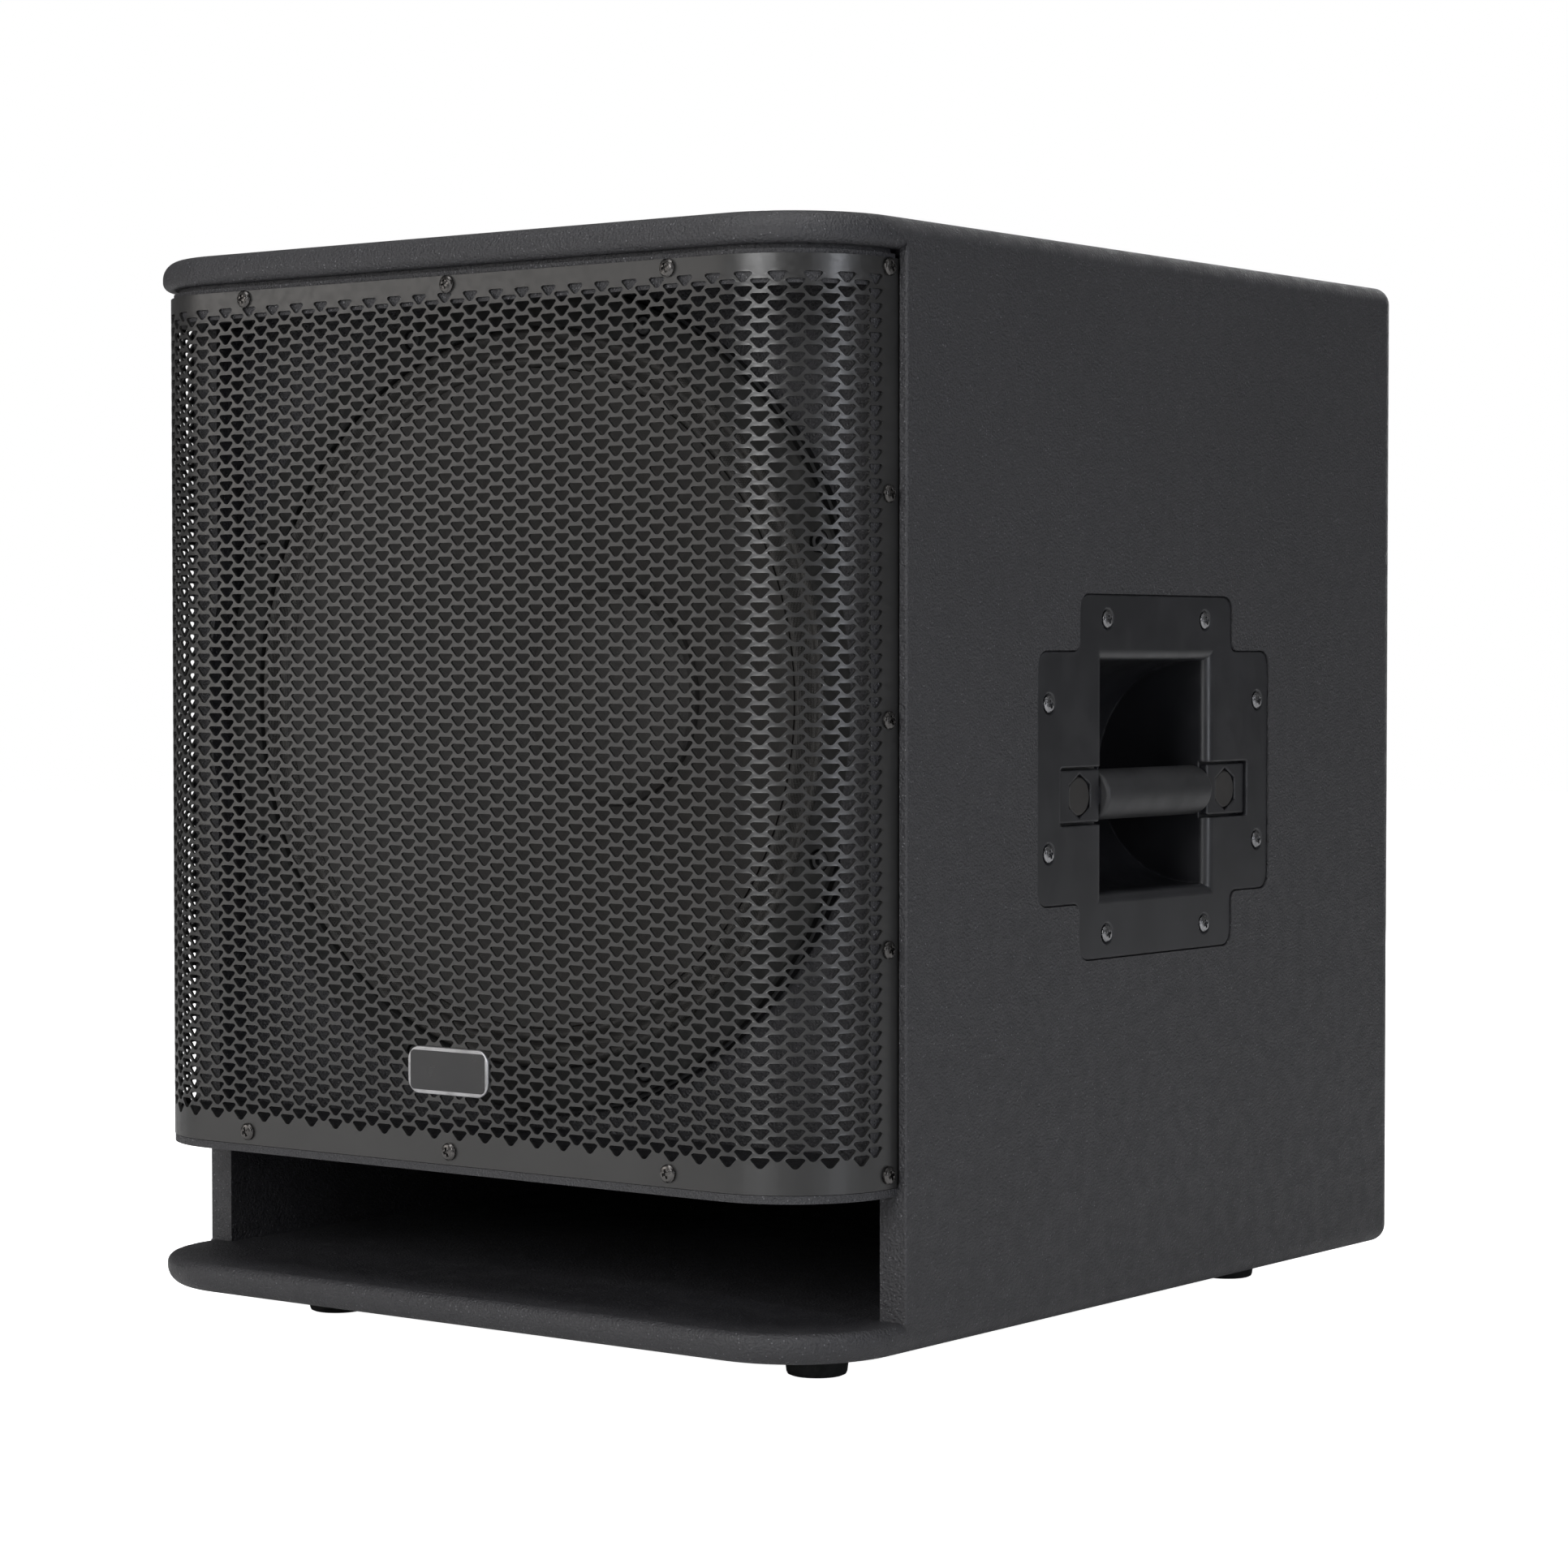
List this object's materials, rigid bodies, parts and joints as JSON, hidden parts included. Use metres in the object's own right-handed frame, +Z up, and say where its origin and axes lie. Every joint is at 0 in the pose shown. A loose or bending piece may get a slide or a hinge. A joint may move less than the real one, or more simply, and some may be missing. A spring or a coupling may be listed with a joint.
{
  "type": "pa speaker cabinet",
  "caption": "Powered bass loudspeaker cabinet with a wrap-round perforated grille over one cone driver, a slot port under it, bar handles in side cups, and an amplifier panel behind.",
  "frame": {"origin": "on the floor, under the middle of the cabinet's width and depth", "axes": "+Z up, -Y out of the grille, +X to the right when facing the grille from the front"},
  "size_m": [0.5134, 0.6, 0.613],
  "materials": {
    "cabinet_paint": "fine textured black paint",
    "bare_plywood": "black stain, matt",
    "grille_steel": "satin black powder coat",
    "black_screw": "black zinc",
    "badge": "satin",
    "handle_plastic": "moulded, satin",
    "grip_rubber": "smooth, satin",
    "foot_rubber": "dull",
    "socket_metal": "black powder coat",
    "basket_metal": "black powder coat",
    "gasket_foam": "matt",
    "surround_cloth": "doped cloth",
    "cone_paper": "matt pressed pulp",
    "coil_former": "glass fibre",
    "copper": "enamelled copper wire",
    "zinc_steel": "zinc plate",
    "ferrite": "ground ferrite",
    "terminal_plastic": "moulded",
    "lead_jacket": "smooth jacket",
    "amp_panel": "black powder coat",
    "heat_sink_metal": "black anodised",
    "case_steel": "zinc plate",
    "board_green": "solder mask",
    "transformer_wrap": "polyester film",
    "button_plastic": "moulded",
    "latch_metal": "nickel plate",
    "lamp_lens": "diffused lens"
  },
  "bodies": {
    "cabinet": {"top_board": "cabinet_paint", "bottom_board": "cabinet_paint", "right_side_board": "cabinet_paint", "left_side_board": "cabinet_paint", "rear_board": "cabinet_paint", "port_shelf": "cabinet_paint", "grille_top_rail": "cabinet_paint", "grille_side_battens": "cabinet_paint", "front_baffle": "cabinet_paint", "window_brace": "bare_plywood", "grille": "grille_steel", "grille_screws": "black_screw", "handle_screws": "black_screw", "handle_bolts": "black_screw", "foot_screws": "black_screw", "pole_socket_screws": "black_screw", "driver_bolts": "black_screw", "amplifier_screws": "black_screw", "badge_plate": "badge", "right_handle_cup": "handle_plastic", "left_handle_cup": "handle_plastic", "right_handle_bar": "handle_plastic", "left_handle_bar": "handle_plastic", "right_grip_sleeve": "grip_rubber", "left_grip_sleeve": "grip_rubber", "rubber_feet": "foot_rubber", "pole_socket": "socket_metal", "driver_basket": "basket_metal", "driver_gasket": "gasket_foam", "cone_surround": "surround_cloth", "spider": "surround_cloth", "magnet_front_plate": "zinc_steel", "pole_yoke": "zinc_steel", "magnet_ring": "ferrite", "driver_terminals": "terminal_plastic", "input_sockets": "terminal_plastic", "output_sockets": "terminal_plastic", "mains_inlet": "terminal_plastic", "rocker_frame": "terminal_plastic", "button_switches": "terminal_plastic", "speaker_lead": "lead_jacket", "amplifier_plate": "amp_panel", "heat_sink": "heat_sink_metal", "amplifier_case": "case_steel", "potentiometers": "case_steel", "circuit_board": "board_green", "power_transformer": "transformer_wrap", "status_lights": "lamp_lens"},
    "cone_assembly": {"speaker_cone": "cone_paper", "dust_cap": "cone_paper", "coil_former": "coil_former", "voice_coil": "copper"},
    "level_control": {"level_knob": "terminal_plastic"},
    "crossover_control": {"crossover_knob": "terminal_plastic"},
    "polarity_switch": {"polarity_button": "button_plastic"},
    "ground_lift_switch": {"ground_lift_button": "button_plastic"},
    "power_switch": {"power_rocker": "terminal_plastic"},
    "fuse_holder": {"fuse_drawer": "terminal_plastic"},
    "latch_a": {"input_latch_a": "latch_metal"},
    "latch_b": {"input_latch_b": "latch_metal"}
  },
  "joints": [
    {"name": "cone_travel", "type": "slide", "parent": "cabinet", "child": "cone_assembly", "axis": [0, 1, 0], "range_m": [-0.008, 0.008], "stiffness_N_per_m": 6000, "deforming": ["cone_surround", "spider"]},
    {"name": "level_turn", "type": "hinge", "parent": "cabinet", "child": "level_control", "pos_m": [0.07, 0.287, 0.322], "axis": [0, 1, 0], "range_deg": [-150, 150]},
    {"name": "crossover_turn", "type": "hinge", "parent": "cabinet", "child": "crossover_control", "pos_m": [0.022, 0.287, 0.322], "axis": [0, 1, 0], "range_deg": [-150, 150]},
    {"name": "polarity_press", "type": "slide", "parent": "cabinet", "child": "polarity_switch", "axis": [0, -1, 0], "range_m": [0, 0.003], "stiffness_N_per_m": 400},
    {"name": "ground_lift_press", "type": "slide", "parent": "cabinet", "child": "ground_lift_switch", "axis": [0, -1, 0], "range_m": [0, 0.003], "stiffness_N_per_m": 400},
    {"name": "power_rock", "type": "hinge", "parent": "cabinet", "child": "power_switch", "pos_m": [0.018, 0.284, 0.198], "axis": [0, 0, -1], "range_deg": [0, 18]},
    {"name": "fuse_pull", "type": "slide", "parent": "cabinet", "child": "fuse_holder", "axis": [0, 1, 0], "range_m": [0, 0.015]},
    {"name": "latch_a_press", "type": "slide", "parent": "cabinet", "child": "latch_a", "axis": [0, -1, 0], "range_m": [0, 0.0015], "stiffness_N_per_m": 500},
    {"name": "latch_b_press", "type": "slide", "parent": "cabinet", "child": "latch_b", "axis": [0, -1, 0], "range_m": [0, 0.0015], "stiffness_N_per_m": 500}
  ]
}
